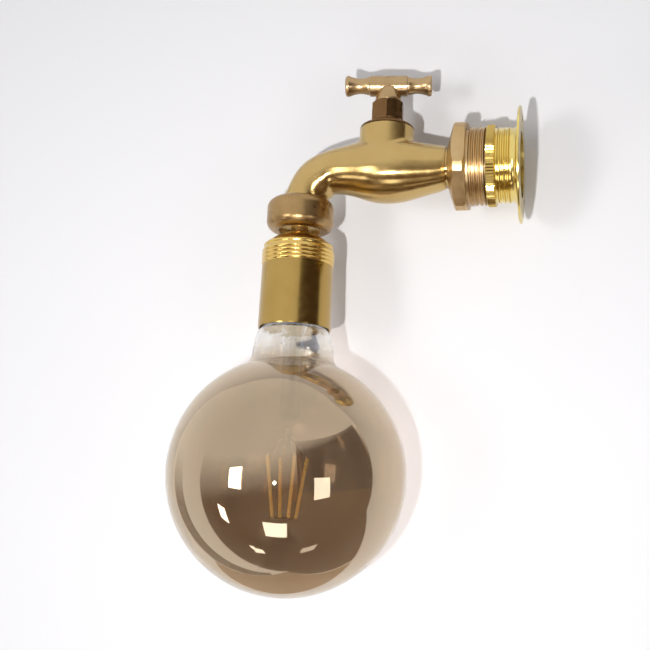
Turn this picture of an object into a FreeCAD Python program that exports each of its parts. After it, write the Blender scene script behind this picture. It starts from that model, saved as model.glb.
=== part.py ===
"""Wall light made from a brass bib tap, with a screw lampholder and a large globe lamp.

Frame: the origin is the centre of the wall flange's back face, on the wall.
+Y points into the wall, +Z is up, and the tap and its lamp stand out along -Y.
Lengths are in millimetres.  A "distance" is how far a thing stands from the wall.
"""
import FreeCAD, Part
import math
import os

V = FreeCAD.Vector

# ---------------------------------------------------------------- driving dimensions
# fits
thread_gap = 0.08            # radial gap between a male thread and its female
running_gap = 0.06           # radial gap of a part that turns or slides in a bore
face_gap = 0.1               # gap between two faces that turn on each other
loose_gap = 0.3              # gap round a part that only lies in its place

# wall flange: pressed yellow brass disc with a threaded collar
disc_radius = 31.0
disc_thickness = 1.3
flare_radius = 3.9           # concave flare between the disc and the collar
collar_thread_radius = 20.2
collar_thread_depth = 0.75
collar_pitch = 2.35
collar_wall = 2.6
ring_front = 17.8            # distance of the lock ring's front face
spigot_radius = 17.0         # plain front end that enters the bushing
spigot_length = 5.0
spigot_wall = 1.6
screw_circle_radius = 26.3
screw_hole_radius = 2.1
screw_hole_count = 3

# knurled lock ring on the collar
ring_radius = 21.7
ring_width = 4.6
knurl_depth = 0.45
knurl_count = 84
knurl_chamfer = 0.5

# hexagon bushing, 1 1/4 inch outside and 1/2 inch inside
bushing_thread_radius = 20.955
bushing_thread_depth = 1.2
bushing_pitch = 2.309
bushing_thread_length = 10.5
hex_across_flats = 46.0
hex_corner_radius = 25.3     # the corners are turned down to this
hex_turn = -19.0             # degrees that the hexagon stopped at when it was screwed up
hex_thickness = 6.9
bushing_nose_length = 3.2
bushing_nose_radius = 13.0
bushing_cavity_depth = 12.0
inlet_thread_radius = 10.48  # 1/2 inch pipe thread

# tap body: a hollow casting
tail_standoff = 1.5          # from the bushing's nose to the body's shoulder
tail_groove_radius = 9.9
tail_groove_width = 1.6
inlet_thread_length = 7.5
body_wall = 3.2
bore_step = 0.25             # the drilled ends are this much smaller than the cored passage
boss_distance = 73.1         # axis of the spindle
boss_radius = 14.9
boss_top = 22.3
boss_fillet = 3.4
bonnet_thread_radius = 10.5
lamp_distance = 119.6        # axis of the spout's end and of the lamp
spout_thread_radius = 13.2   # 3/4 inch pipe thread
spout_thread_top = -18.6
spout_end = -27.0
spout_pitch = 1.814
spout_thread_depth = 0.8
# circles across the passage: (share of the way, height, radius, angle turned down)
tail_circles = [(0.0, 0.0, 11.4, 0), (0.245, -0.6, 13.4, 0), (0.485, -0.8, 15.3, 0), (0.755, -0.8, 17.3, 0)]
neck_circles = [
    (0.02, -0.5, 17.9, 0), (0.235, 0.0, 16.4, 0), (0.405, 0.4, 14.2, 0), (0.555, 0.3, 12.8, 0),
    (0.77, -3.3, 12.2, 30), (0.925, -11.2, 11.0, 60),
]
spout_circle_radius = 11.2

# bonnet, gland and spindle
bonnet_depth = 10.8
bonnet_dome_height = 4.4
bonnet_dome_top_radius = 9.5
bonnet_seam_depth = 0.9      # groove where the bonnet meets the boss
bonnet_neck_radius = 7.0
bonnet_neck_height = 6.5
spindle_thread_radius = 5.0
spindle_radius = 4.0
packing_radius = 5.8
packing_height = 4.1
gland_across_flats = 16.5
gland_height = 11.9
gland_chamfer = 1.4
gland_flange_radius = 9.3
gland_flange_height = 1.0
gland_turn = 36.0            # degrees that the gland nut's flats are turned
spindle_pitch = 2.5
opening_turns = 2

# valve that the spindle lifts
valve_bottom = 0.6           # underside of the tap washer
washer_radius = 7.8
washer_thickness = 3.0
valve_plate_radius = 8.2
valve_plate_thickness = 2.4
valve_stem_radius = 2.9
valve_stem_length = 7.0
valve_screw_radius = 1.5
valve_nut_across_flats = 5.5
valve_nut_height = 2.4

# T handle
handle_height = 49.0         # height of the bar's axis
handle_rest_turn = 6.0       # degrees that the closed handle stands off the wall's normal
hub_radius = 5.7
hub_length = 21.0
hub_saddle_radius = 5.9      # top of the coned neck under the barrel
hub_saddle_drop = 2.5        # from the bar's axis down to the neck's top
hub_foot_radius = 7.3
hub_foot_height = 1.2
hub_head_wall = 1.6
bar_end_length = 13.5
bar_end_waist_radius = 4.25
bar_end_tip_radius = 5.75
bar_end_root_radius = 4.9
stud_radius = 2.5
stud_grip = 7.0              # length of the stud inside each bar end

# union nut and nipple under the spout
union_radius = 18.3
union_top = -16.6
union_bottom = -34.0
union_top_rounding = 5.0
union_bottom_rounding = 5.0
union_lip = 2.3
union_hole_radius = 11.3
seal_thickness = 1.7
seal_inner_radius = 8.6
nipple_radius = 4.9
nipple_bore_radius = 3.3
nipple_top = -21.5
nipple_bottom = -42.4
locknut_across_flats = 12.6
locknut_thickness = 2.0

# lampholder: cap, skirt and what they hold
cap_top = -35.2
cap_hub_radius = 6.3
cap_hub_depth = 3.6
cap_shoulder = -43.3         # widest ring of the dome's edge
cap_shoulder_radius = 19.0
holder_radius = 19.3
cap_wall = 1.0
cap_groove_radius = 18.8     # plain groove between the dome's edge and the beads
bead_count = 4
bead_pitch = 2.13
bead_height = 0.45
first_bead = -46.6
skirt_top = -48.6
skirt_seam = -54.4
skirt_rim = -89.1
skirt_wall = 0.9
rim_radius = 19.6
insulator_flange = 1.4
insulator_depth = 9.0
insulator_radius = 16.6
shell_wall = 0.4
shell_depth = 19.0
shell_pitch = 3.63
terminal_offset = 9.5
terminal_radius = 2.6
terminal_height = 1.1
contact_width = 6.0
contact_thickness = 0.5
tag_thickness = 0.5
tag_radius = 9.6

# lamp: screw cap, globe, stem and filaments
lamp_tip = -60.0
lamp_cap_radius = 13.0
lamp_cap_root_radius = 12.45
lamp_cap_wall = 0.35
lamp_cap_length = 25.5
lamp_cap_nose = 5.6          # from the tip to the first thread
lamp_cap_nose_radius = 9.0
tip_radius = 4.8
tip_thickness = 1.1
globe_radius = 62.5
globe_centre = -166.6
globe_wall = 0.9
neck_end_radius = 11.9
neck_end_overlap = 3.6
neck_rim_radius = 19.2       # of the glass just below the skirt's rim
neck_radius = 21.6
neck_fillet = 9.0
stem_radius = 5.3
stem_wall = 0.8
stem_flare_radius = 8.0      # half way up the flare
stem_foot_height = 4.0
stem_bottom = -136.0
pinch_length = 6.0
pinch_radius = 2.6
exhaust_radius = 1.6
exhaust_wall = 0.5
wire_radius = 0.35
filament_radius = 0.9
filament_top = -157.0
filament_bottom = -188.5
filament_top_circle = 11.0
filament_bottom_circle = 6.5
filament_count = 4
filament_turn = 35.0         # degrees from +X to the first filament
link_radius = 0.4
link_drop = 0.48
link_overhang = 0.6
driver_width = 15.0
driver_height = 13.0
driver_thickness = 1.2

# wiring
lead_radius = 2.4
core_radius = 0.7
block_width = 22.0
block_height = 11.0
block_depth = 9.0
block_back = 2.0             # distance of the block's back face from the wall
block_screw_radius = 1.7
block_slot_depth = 0.8
wire_hole_radius = 1.5
wire_hole_height = 3.4       # above the block's lower face
lead_standoff = 2.0          # from the block's front to the end of the lead's sheath

# ---------------------------------------------------------------- worked out once
collar_bore = collar_thread_radius - collar_wall
ring_back = ring_front - ring_width
bushing_back = ring_front
hex_back = bushing_back + bushing_thread_length
hex_front = hex_back + hex_thickness
bushing_front = hex_front + bushing_nose_length
tail_start = bushing_front + tail_standoff
body_circles = [(tail_start + share * (boss_distance - tail_start), height, radius, turned_down)
                for share, height, radius, turned_down in tail_circles]
body_circles += [(boss_distance + share * (lamp_distance - boss_distance), height, radius, turned_down)
                 for share, height, radius, turned_down in neck_circles]
body_circles += [(lamp_distance - 1.0, spout_thread_top, spout_circle_radius, 80),
                 (lamp_distance - 0.2, spout_end + 1.0, spout_circle_radius, 88)]
bonnet_bottom = boss_top - bonnet_depth
bonnet_top = boss_top + bonnet_dome_height
neck_top = bonnet_top + bonnet_neck_height
packing_bottom = neck_top - packing_height
gland_top = bonnet_top + gland_height
valve_lift = spindle_pitch * opening_turns
washer_top = valve_bottom + washer_thickness
plate_top = washer_top + valve_plate_thickness
spindle_bottom = plate_top + face_gap
lip_top = union_bottom + union_lip
plate_face = spout_end - seal_thickness
union_bore_radius = spout_thread_radius + thread_gap
cap_ceiling = cap_top - cap_hub_depth
tag_bottom = cap_ceiling - tag_thickness
skirt_outer = holder_radius - cap_wall - thread_gap
insulator_top = skirt_top + insulator_flange
insulator_bottom = skirt_top - insulator_depth
shell_radius = lamp_cap_radius + shell_wall + loose_gap
cap_thread_top = lamp_tip - lamp_cap_nose
cap_rim = lamp_tip - lamp_cap_length
cap_bore = lamp_cap_root_radius - lamp_cap_wall
stem_foot_top = cap_rim + neck_end_overlap - 1.0
stem_floor = stem_bottom + 1.0
pinch_end = stem_bottom - pinch_length
block_front = block_back + block_depth
block_middle = block_back + block_depth / 2
block_pitch = block_width / 3
block_bottom = -math.sqrt((collar_bore - face_gap) ** 2 - (block_width / 2) ** 2)
lead_start = block_front + lead_standoff
lead_end = nipple_bottom + 1.2


# ---------------------------------------------------------------- helpers
def save(node, shape):
    """Write one node and say whether its solids are sound."""
    os.makedirs("parts", exist_ok=True)
    shape.exportStep("parts/" + node + ".step")
    kind = "ok" if shape.isValid() else "NOT VALID"
    print("%-22s %2d solid  %9.1f mm3  %s" % (node, len(shape.Solids), shape.Volume, kind))


def rounded_outline(corners, place):
    """Closed wire through (a, b) or (a, b, rounding) corners, put in space by place(a, b)."""
    count = len(corners)
    starts, ends, middles = [], [], []
    for index in range(count):
        here = V(corners[index][0], corners[index][1], 0)
        before = V(corners[index - 1][0], corners[index - 1][1], 0)
        after = V(corners[(index + 1) % count][0], corners[(index + 1) % count][1], 0)
        rounding = corners[index][2] if len(corners[index]) > 2 else 0
        to_before = (before - here).normalize()
        to_after = (after - here).normalize()
        if rounding == 0:
            starts.append(here)
            ends.append(here)
            middles.append(None)
            continue
        half_angle = to_before.getAngle(to_after) / 2
        reach = rounding / math.tan(half_angle)
        inward = (to_before + to_after).normalize()
        centre = here + inward * (rounding / math.sin(half_angle))
        starts.append(here + to_before * reach)
        ends.append(here + to_after * reach)
        middles.append(centre - inward * rounding)
    edges = []
    for index in range(count):
        if middles[index] is not None:
            arc = Part.Arc(place(starts[index]), place(middles[index]), place(ends[index]))
            edges.append(arc.toShape())
        following = starts[(index + 1) % count]
        if (following - ends[index]).Length > 1e-6:
            line = Part.LineSegment(place(ends[index]), place(following))
            edges.append(line.toShape())
    return Part.Wire(edges)


def turned_inlet(corners):
    """Solid turned about the inlet's axis, from (radius, distance) corners."""
    wire = rounded_outline(corners, lambda p: V(p.x, -p.y, 0))
    return Part.Face(wire).revolve(V(0, 0, 0), V(0, 1, 0), 360)


def turned_upright(corners, distance):
    """Solid turned about an upright axis, from (radius, height) corners."""
    wire = rounded_outline(corners, lambda p: V(p.x, -distance, p.y))
    return Part.Face(wire).revolve(V(0, -distance, 0), V(0, 0, 1), 360)


def upright_cylinder(radius, bottom, top, distance, across=0.0):
    return Part.makeCylinder(radius, top - bottom, V(across, -distance, bottom), V(0, 0, 1))


def inlet_cylinder(radius, near, far):
    """Cylinder on the inlet's axis between two distances from the wall."""
    return Part.makeCylinder(radius, far - near, V(0, -near, 0), V(0, -1, 0))


def hexagon_prism(across_flats, bottom, top, distance, turn=0.0):
    """Upright hexagon with two flats facing +X and -X, turned by some degrees."""
    corner = across_flats / 2 / math.cos(math.pi / 6)
    points = []
    for index in range(7):
        angle = math.radians(30 + turn + 60 * index)
        points.append(V(corner * math.cos(angle), corner * math.sin(angle) - distance, bottom))
    return Part.Face(Part.makePolygon(points)).extrude(V(0, 0, top - bottom))


def hexagon_nut(across_flats, bottom, top, distance, bore):
    hole = upright_cylinder(bore, bottom - 1, top + 1, distance)
    return hexagon_prism(across_flats, bottom, top, distance).cut(hole)


def ring(bore, outer, bottom, top, distance):
    """Flat upright ring."""
    return turned_upright([(bore, bottom), (outer, bottom), (outer, top), (bore, top)], distance)


def ridges(crest, depth, pitch, start, end, sign=1):
    """Corners of thread ridges between two stations; sign -1 when the stations fall."""
    root = crest - depth
    corners = []
    count = int(abs(end - start) / pitch)
    for index in range(count):
        station = start + sign * pitch * index
        corners.append((root, station + sign * 0.10 * pitch))
        corners.append((crest, station + sign * 0.45 * pitch))
        corners.append((crest, station + sign * 0.60 * pitch))
        corners.append((root, station + sign * 0.95 * pitch))
    return corners


def tube(points, radius):
    """Round tube along straight runs joined by tangent arcs, as large as the runs allow."""
    edges = []
    position = points[0]
    for index in range(1, len(points) - 1):
        here = points[index]
        to_before = (points[index - 1] - here)
        to_after = (points[index + 1] - here)
        reach = 0.45 * min(to_before.Length, to_after.Length)
        half_angle = to_before.getAngle(to_after) / 2
        to_before.normalize()
        to_after.normalize()
        arc_radius = reach * math.tan(half_angle)
        inward = (to_before + to_after).normalize()
        centre = here + inward * (arc_radius / math.sin(half_angle))
        start = here + to_before * reach
        end = here + to_after * reach
        edges.append(Part.LineSegment(position, start).toShape())
        edges.append(Part.Arc(start, centre - inward * arc_radius, end).toShape())
        position = end
    edges.append(Part.LineSegment(position, points[-1]).toShape())
    path = Part.Wire(edges)
    section = Part.Wire(Part.makeCircle(radius, points[0], points[1] - points[0]))
    return path.makePipeShell([section], True, False)


# ---------------------------------------------------------------- wall fixing
def wall_flange():
    """Disc on the wall, threaded collar, and a spigot that enters the bushing."""
    root = collar_thread_radius - collar_thread_depth
    thread_start = disc_thickness + flare_radius
    corners = [(collar_bore, 0), (disc_radius, 0, 0.3), (disc_radius, disc_thickness, 0.5),
               (root, disc_thickness, flare_radius - 0.2)]
    corners += ridges(collar_thread_radius, collar_thread_depth, collar_pitch,
                      thread_start, ring_front)
    corners += [(root, ring_front - thread_gap), (spigot_radius, ring_front - thread_gap),
                (spigot_radius, ring_front + spigot_length),
                (spigot_radius - spigot_wall, ring_front + spigot_length),
                (spigot_radius - spigot_wall, ring_back), (collar_bore, ring_back - spigot_wall)]
    flange = turned_inlet(corners)
    for index in range(screw_hole_count):
        angle = math.radians(90 + 360 / screw_hole_count * index)
        start = V(screw_circle_radius * math.cos(angle), 1, screw_circle_radius * math.sin(angle))
        hole = Part.makeCylinder(screw_hole_radius, 2 * disc_thickness + 2, start, V(0, -1, 0))
        flange = flange.cut(hole)
    return flange


def knurled_lock_ring():
    """Ring that runs on the collar's thread and jams against the bushing."""
    points = []
    for index in range(2 * knurl_count + 1):
        angle = math.pi * index / knurl_count
        radius = ring_radius - knurl_depth * (index % 2)
        points.append(V(radius * math.cos(angle), -ring_back, radius * math.sin(angle)))
    knurl = Part.Face(Part.makePolygon(points)).extrude(V(0, -ring_width, 0))
    limit = turned_inlet([(0, ring_back), (ring_radius - knurl_chamfer, ring_back),
                          (ring_radius, ring_back + knurl_chamfer),
                          (ring_radius, ring_front - knurl_chamfer),
                          (ring_radius - knurl_chamfer, ring_front), (0, ring_front)])
    bore = inlet_cylinder(collar_thread_radius + thread_gap, ring_back - 1, ring_front + 1)
    return knurl.common(limit).cut(bore)


def hex_bushing():
    """Reducer: large male thread, hexagon with turned corners, coned nose, 1/2 inch bore."""
    corner = hex_across_flats / 2 / math.cos(math.pi / 6)
    points = []
    for index in range(7):
        angle = math.radians(hex_turn + 60 * index)
        points.append(V(corner * math.cos(angle), -hex_back, corner * math.sin(angle)))
    prism = Part.Face(Part.makePolygon(points)).extrude(V(0, hex_back - bushing_front, 0))
    turned = turned_inlet([(0, hex_back), (hex_corner_radius - 1.0, hex_back),
                           (hex_corner_radius, hex_back + 0.9), (hex_corner_radius, hex_front - 1.2),
                           (hex_across_flats / 2, hex_front),
                           (bushing_nose_radius, bushing_front, 0.6), (0, bushing_front)])
    root = bushing_thread_radius - bushing_thread_depth
    corners = [(0, bushing_back), (root, bushing_back)]
    corners += ridges(bushing_thread_radius, bushing_thread_depth, bushing_pitch,
                      bushing_back, hex_back)
    corners += [(root, hex_back + 0.5), (0, hex_back + 0.5)]
    body = prism.common(turned).fuse(turned_inlet(corners))
    cavity = inlet_cylinder(spigot_radius + thread_gap, bushing_back - 1,
                            bushing_back + bushing_cavity_depth)
    bore = inlet_cylinder(inlet_thread_radius + thread_gap, bushing_back, bushing_front + 1)
    return body.cut(cavity).cut(bore)


# ---------------------------------------------------------------- tap
def body_form(inset):
    """Loft through the body's circles, drawn in by an inset."""
    wires = []
    for distance, height, radius, turned_down in body_circles:
        circle = Part.makeCircle(radius - inset, V(0, 0, 0), V(0, 0, 1))
        circle.rotate(V(0, 0, 0), V(1, 0, 0), 90 + turned_down)
        circle.translate(V(0, -distance, height))
        wires.append(Part.Wire(circle))
    return Part.makeLoft(wires, True, False)


def tap_body():
    """Hollow casting: threaded tail, belly with the spindle's boss, swan neck and spout."""
    boss = upright_cylinder(boss_radius, 0, boss_top, boss_distance)
    outside = body_form(0).fuse(boss)
    joint_edges = []
    for edge in outside.Edges:
        box = edge.BoundBox
        if 5 < box.ZMin and box.ZMax < boss_top - 1 and box.YLength > 5:
            joint_edges.append(edge)
    outside = outside.makeFillet(boss_fillet, joint_edges)
    spout_root = spout_thread_radius - spout_thread_depth
    spout_corners = [(0, spout_thread_top), (spout_root, spout_thread_top)]
    spout_corners += ridges(spout_thread_radius, spout_thread_depth, spout_pitch,
                            spout_thread_top, spout_end, -1)
    spout_corners += [(spout_root, spout_end), (0, spout_end)]
    bushing_reach = bushing_front - inlet_thread_length
    tail = inlet_cylinder(tail_groove_radius, bushing_reach, tail_start + 0.5)
    thread = inlet_cylinder(inlet_thread_radius, bushing_reach, tail_start - tail_groove_width)
    outside = outside.fuse([tail, thread, turned_upright(spout_corners, lamp_distance)])
    first_bore = body_circles[0][2] - body_wall - bore_step
    last_bore = body_circles[-1][2] - body_wall - bore_step
    last_distance = body_circles[-1][0]
    last_height = body_circles[-1][1]
    inlet_bore = inlet_cylinder(first_bore, bushing_reach - 1, tail_start + 1.0)
    outlet_bore = upright_cylinder(last_bore, spout_end - 1, last_height + 1.5, last_distance)
    bonnet_bore = upright_cylinder(bonnet_thread_radius + thread_gap, 0, boss_top + 1, boss_distance)
    trim = upright_cylinder(3 * spout_thread_radius, spout_end - 20, spout_end, lamp_distance)
    passage = body_form(body_wall).fuse([inlet_bore, outlet_bore, bonnet_bore])
    return outside.cut(passage).cut(trim)


def bonnet():
    """Screwed cover of the boss, with a domed top and the gland's neck."""
    corners = [(spindle_thread_radius + running_gap, bonnet_bottom),
               (bonnet_thread_radius, bonnet_bottom),
               (bonnet_thread_radius, boss_top), (boss_radius - bonnet_seam_depth, boss_top),
               (boss_radius, boss_top + 0.6), (boss_radius - 0.3, boss_top + 1.6, 1.0),
               (bonnet_dome_top_radius, bonnet_top, 0.5), (bonnet_neck_radius, bonnet_top),
               (bonnet_neck_radius, neck_top), (packing_radius, neck_top),
               (packing_radius, packing_bottom), (spindle_thread_radius + running_gap, packing_bottom)]
    return turned_upright(corners, boss_distance)


def gland_packing():
    return ring(spindle_radius + running_gap, packing_radius - running_gap, packing_bottom,
                neck_top, boss_distance)


def gland_nut():
    """Hexagon nut that presses the packing, with a flange below and rounded shoulders."""
    prism = hexagon_prism(gland_across_flats, bonnet_top, gland_top, boss_distance, gland_turn)
    corner = gland_across_flats / 2 / math.cos(math.pi / 6)
    limit = turned_upright([(0, bonnet_top), (corner, bonnet_top),
                            (corner, gland_top - gland_chamfer, 1.0),
                            (corner - gland_chamfer, gland_top, 0.4), (0, gland_top)], boss_distance)
    flange = upright_cylinder(gland_flange_radius, bonnet_top, bonnet_top + gland_flange_height,
                              boss_distance)
    thread = upright_cylinder(bonnet_neck_radius + thread_gap, bonnet_top - 1, neck_top,
                              boss_distance)
    hole = upright_cylinder(spindle_radius + running_gap, bonnet_top, gland_top + 1, boss_distance)
    return prism.common(limit).fuse(flange).cut(thread).cut(hole)


def bar_cylinder(radius, length):
    """Cylinder square to the wall on the bar's height, its middle over the spindle."""
    start = V(0, length / 2 - boss_distance, handle_height)
    return Part.makeCylinder(radius, length, start, V(0, -1, 0))


def at_rest_turn(shape):
    """Turn a piece of the handle about the spindle to where it rests."""
    shape.rotate(V(0, -boss_distance, 0), V(0, 0, 1), handle_rest_turn)
    return shape


def spindle():
    """Threaded spindle; its head sits in the handle and takes the cross stud."""
    thread_top = packing_bottom - valve_lift - 1.0
    head_top = handle_height + hub_radius - hub_head_wall - face_gap
    socket_radius = valve_stem_radius + running_gap
    socket_top = plate_top + valve_stem_length + face_gap
    corners = [(socket_radius, spindle_bottom), (spindle_thread_radius, spindle_bottom, 0.4),
               (spindle_thread_radius, thread_top), (spindle_radius, thread_top + 0.6),
               (spindle_radius, head_top, 0.4), (0, head_top), (0, socket_top),
               (socket_radius, socket_top)]
    cross_hole = at_rest_turn(bar_cylinder(stud_radius + running_gap, hub_length))
    return turned_upright(corners, boss_distance).cut(cross_hole)


def handle_hub():
    """Barrel of the T handle on a coned neck with a foot."""
    foot_bottom = gland_top + loose_gap
    barrel = bar_cylinder(hub_radius, hub_length)
    rims = [edge for edge in barrel.Edges if edge.BoundBox.YLength < 1e-6]
    barrel = barrel.makeChamfer(0.35, rims)
    neck = turned_upright([(0, foot_bottom), (hub_foot_radius, foot_bottom, 0.4),
                           (hub_foot_radius, foot_bottom + hub_foot_height, 0.3),
                           (hub_saddle_radius, handle_height - hub_saddle_drop, 1.0),
                           (hub_radius - 1.5, handle_height), (0, handle_height)],
                          boss_distance)
    stud_hole = bar_cylinder(stud_radius + thread_gap, hub_length + 2)
    socket = upright_cylinder(spindle_radius + thread_gap, foot_bottom - 1,
                              handle_height + hub_radius - hub_head_wall, boss_distance)
    return at_rest_turn(barrel.fuse(neck).cut(stud_hole).cut(socket))


def handle_stud():
    """Rod through the hub and the spindle's head that carries both bar ends."""
    return at_rest_turn(bar_cylinder(stud_radius, hub_length + 2 * stud_grip))


def handle_end(side):
    """Flared end of the bar; side +1 is towards the wall, -1 away from it."""
    start = hub_length / 2 + 0.05
    bore = stud_radius + thread_gap
    bore_end = start + stud_grip + 0.2
    curve_start = V(0, start + 0.9, bar_end_root_radius)
    curve_middle = V(0, start + 0.42 * bar_end_length, bar_end_waist_radius)
    curve_end = V(0, start + bar_end_length - 2.2, bar_end_tip_radius)
    tip = start + bar_end_length
    shoulder = V(0, tip - 0.9, bar_end_tip_radius - 0.05)
    rim = V(0, tip - 0.25, bar_end_tip_radius - 0.7)
    edges = [Part.LineSegment(V(0, start, bore), V(0, start, bar_end_root_radius)).toShape(),
             Part.LineSegment(V(0, start, bar_end_root_radius), curve_start).toShape(),
             Part.Arc(curve_start, curve_middle, curve_end).toShape(),
             Part.LineSegment(curve_end, shoulder).toShape(),
             Part.LineSegment(shoulder, rim).toShape(),
             Part.LineSegment(rim, V(0, tip, 0)).toShape(),
             Part.LineSegment(V(0, tip, 0), V(0, bore_end, 0)).toShape(),
             Part.LineSegment(V(0, bore_end, 0), V(0, bore_end, bore)).toShape(),
             Part.LineSegment(V(0, bore_end, bore), V(0, start, bore)).toShape()]
    end = Part.Face(Part.Wire(edges)).revolve(V(0, 0, 0), V(0, 1, 0), 360)
    if side < 0:
        end.rotate(V(0, 0, 0), V(0, 0, 1), 180)
    end.translate(V(0, -boss_distance, handle_height))
    return at_rest_turn(end)


def valve_jumper():
    """Loose valve: stem in the spindle's socket, plate, and the washer's screw."""
    screw_end = valve_bottom - valve_nut_height - 0.6
    corners = [(0, screw_end), (valve_screw_radius, screw_end), (valve_screw_radius, washer_top),
               (valve_plate_radius, washer_top, 0.4), (valve_plate_radius, plate_top, 0.6),
               (valve_stem_radius, plate_top), (valve_stem_radius, plate_top + valve_stem_length),
               (0, plate_top + valve_stem_length)]
    return turned_upright(corners, boss_distance)


def tap_washer():
    bore = valve_screw_radius + running_gap
    corners = [(bore, valve_bottom), (washer_radius, valve_bottom, 0.5), (washer_radius, washer_top),
               (bore, washer_top)]
    return turned_upright(corners, boss_distance)


def washer_nut():
    bottom = valve_bottom - valve_nut_height
    return hexagon_nut(valve_nut_across_flats, bottom, valve_bottom, boss_distance,
                       valve_screw_radius + running_gap)


# ---------------------------------------------------------------- union under the spout
def union_nut():
    """Round brass union nut with full shoulders; its lip carries the nipple's plate."""
    bore = union_bore_radius
    corners = [(union_hole_radius, union_bottom, 0.7),
               (union_radius, union_bottom, union_bottom_rounding),
               (union_radius, union_top, union_top_rounding - 0.2), (bore, union_top),
               (bore, lip_top), (union_hole_radius, lip_top)]
    return turned_upright(corners, lamp_distance)


def union_seal():
    return ring(seal_inner_radius, union_bore_radius - loose_gap, plate_face, spout_end,
                lamp_distance)


def nipple_plate():
    return ring(nipple_radius + thread_gap, union_bore_radius - loose_gap, lip_top, plate_face,
                lamp_distance)


def nipple():
    """Hollow threaded stem between the plate and the lampholder."""
    corners = [(nipple_bore_radius, nipple_bottom), (nipple_radius, nipple_bottom, 0.3),
               (nipple_radius, nipple_top, 0.3), (nipple_bore_radius, nipple_top)]
    return turned_upright(corners, lamp_distance)


def locknut(bottom):
    return hexagon_nut(locknut_across_flats, bottom, bottom + locknut_thickness, lamp_distance,
                       nipple_radius + thread_gap)


# ---------------------------------------------------------------- lampholder
def lampholder_cap():
    """Domed top with the nipple's hub, and four rolled beads round its lower edge."""
    inner = holder_radius - cap_wall
    valley = holder_radius - 0.1
    crest = valley + bead_height
    edge = skirt_seam + 0.15
    fall = cap_top - cap_shoulder
    rise = cap_shoulder_radius - cap_hub_radius
    corners = [(nipple_radius + thread_gap, cap_top), (cap_hub_radius, cap_top, 0.4),
               (cap_hub_radius + 0.33 * rise, cap_top - 0.22 * fall, 6.0),
               (cap_hub_radius + 0.70 * rise, cap_top - 0.56 * fall, 12.0),
               (cap_shoulder_radius, cap_shoulder + 0.4, 0.6),
               (cap_shoulder_radius, cap_shoulder - 0.4, 0.35),
               (cap_groove_radius, cap_shoulder - 0.9, 0.5),
               (cap_groove_radius, first_bead + 0.75 * bead_pitch, 0.5)]
    for index in range(bead_count):
        centre = first_bead - bead_pitch * index
        corners += [(valley, centre + 0.47 * bead_pitch), (crest, centre + 0.14 * bead_pitch, 0.8),
                    (crest, centre - 0.14 * bead_pitch, 0.8), (valley, centre - 0.47 * bead_pitch)]
    corners += [(valley, edge), (inner, edge), (inner, cap_shoulder - 1.2),
                (inner - 4.5, cap_ceiling - 1.2), (tag_radius + 1.2, cap_ceiling),
                (nipple_radius + thread_gap, cap_ceiling)]
    return turned_upright(corners, lamp_distance)


def lampholder_skirt():
    """Plain tube round the socket, its top turned down to screw inside the cap."""
    top_bore = skirt_outer - skirt_wall - 0.2
    rim_bore = rim_radius - skirt_wall
    corners = [(top_bore, skirt_top), (skirt_outer, skirt_top), (skirt_outer, skirt_seam),
               (holder_radius, skirt_seam), (rim_radius, skirt_rim + 0.6), (rim_radius - 0.1, skirt_rim),
               (rim_bore, skirt_rim), (rim_bore, skirt_rim + 1.0), (top_bore, skirt_seam - 2.0)]
    return turned_upright(corners, lamp_distance)


def lampholder_insulator():
    """Porcelain insert, its flange clamped between the cap and the skirt's top edge."""
    flange_radius = holder_radius - cap_wall - loose_gap
    corners = [(0, insulator_bottom), (insulator_radius, insulator_bottom, 0.8),
               (insulator_radius, skirt_top), (flange_radius, skirt_top),
               (flange_radius, insulator_top), (0, insulator_top)]
    return turned_upright(corners, lamp_distance)


def screw_shell():
    """Brass shell that takes the lamp's cap, hung from the insulator."""
    top = insulator_bottom
    end = top - shell_depth - 1.6
    bore = shell_radius - shell_wall
    crest = shell_radius + 0.6
    corners = [(contact_width, top - shell_wall), (contact_width, top), (shell_radius, top)]
    for index in range(int(shell_depth / shell_pitch)):
        station = top - 1.2 - shell_pitch * index
        corners += [(shell_radius, station), (crest, station - 0.3 * shell_pitch, 0.6),
                    (crest, station - 0.7 * shell_pitch, 0.6),
                    (shell_radius, station - 0.98 * shell_pitch)]
    corners += [(shell_radius, end), (bore, end), (bore, top - shell_wall)]
    return turned_upright(corners, lamp_distance)


def centre_contact():
    """Springy strip under the insulator that bears on the lamp's tip."""
    top = insulator_bottom
    foot = Part.makeBox(contact_width, 4.0, contact_thickness,
                        V(-contact_width / 2, -lamp_distance - 5.0, top - contact_thickness))
    drop = top - lamp_tip - contact_thickness - face_gap
    points = [V(0, -lamp_distance - 1.0, top), V(0, -lamp_distance + 3.5, top - drop),
              V(0, -lamp_distance + 3.5, top - drop - contact_thickness),
              V(0, -lamp_distance - 1.4, top - contact_thickness),
              V(0, -lamp_distance - 1.4, top), V(0, -lamp_distance - 1.0, top)]
    tongue = Part.Face(Part.makePolygon(points)).extrude(V(contact_width / 2, 0, 0))
    tongue.translate(V(-contact_width / 4, 0, 0))
    return foot.fuse(tongue)


def terminal_screws():
    """Live and neutral screws on top of the insulator."""
    head_top = insulator_top + terminal_height
    slot_length = 2 * terminal_radius + 1
    screws = []
    for side in (-1, 1):
        across = side * terminal_offset
        head = upright_cylinder(terminal_radius, insulator_top, head_top, lamp_distance, across)
        corner = V(across - slot_length / 2, -lamp_distance - 0.3, head_top - 0.4)
        screws.append(head.cut(Part.makeBox(slot_length, 0.6, 0.4, corner)))
    return Part.makeCompound(screws)


def earth_tag():
    """Ring tag between the cap's ceiling and the lower locknut."""
    return ring(nipple_radius + thread_gap, tag_radius, tag_bottom, cap_ceiling, lamp_distance)


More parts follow.
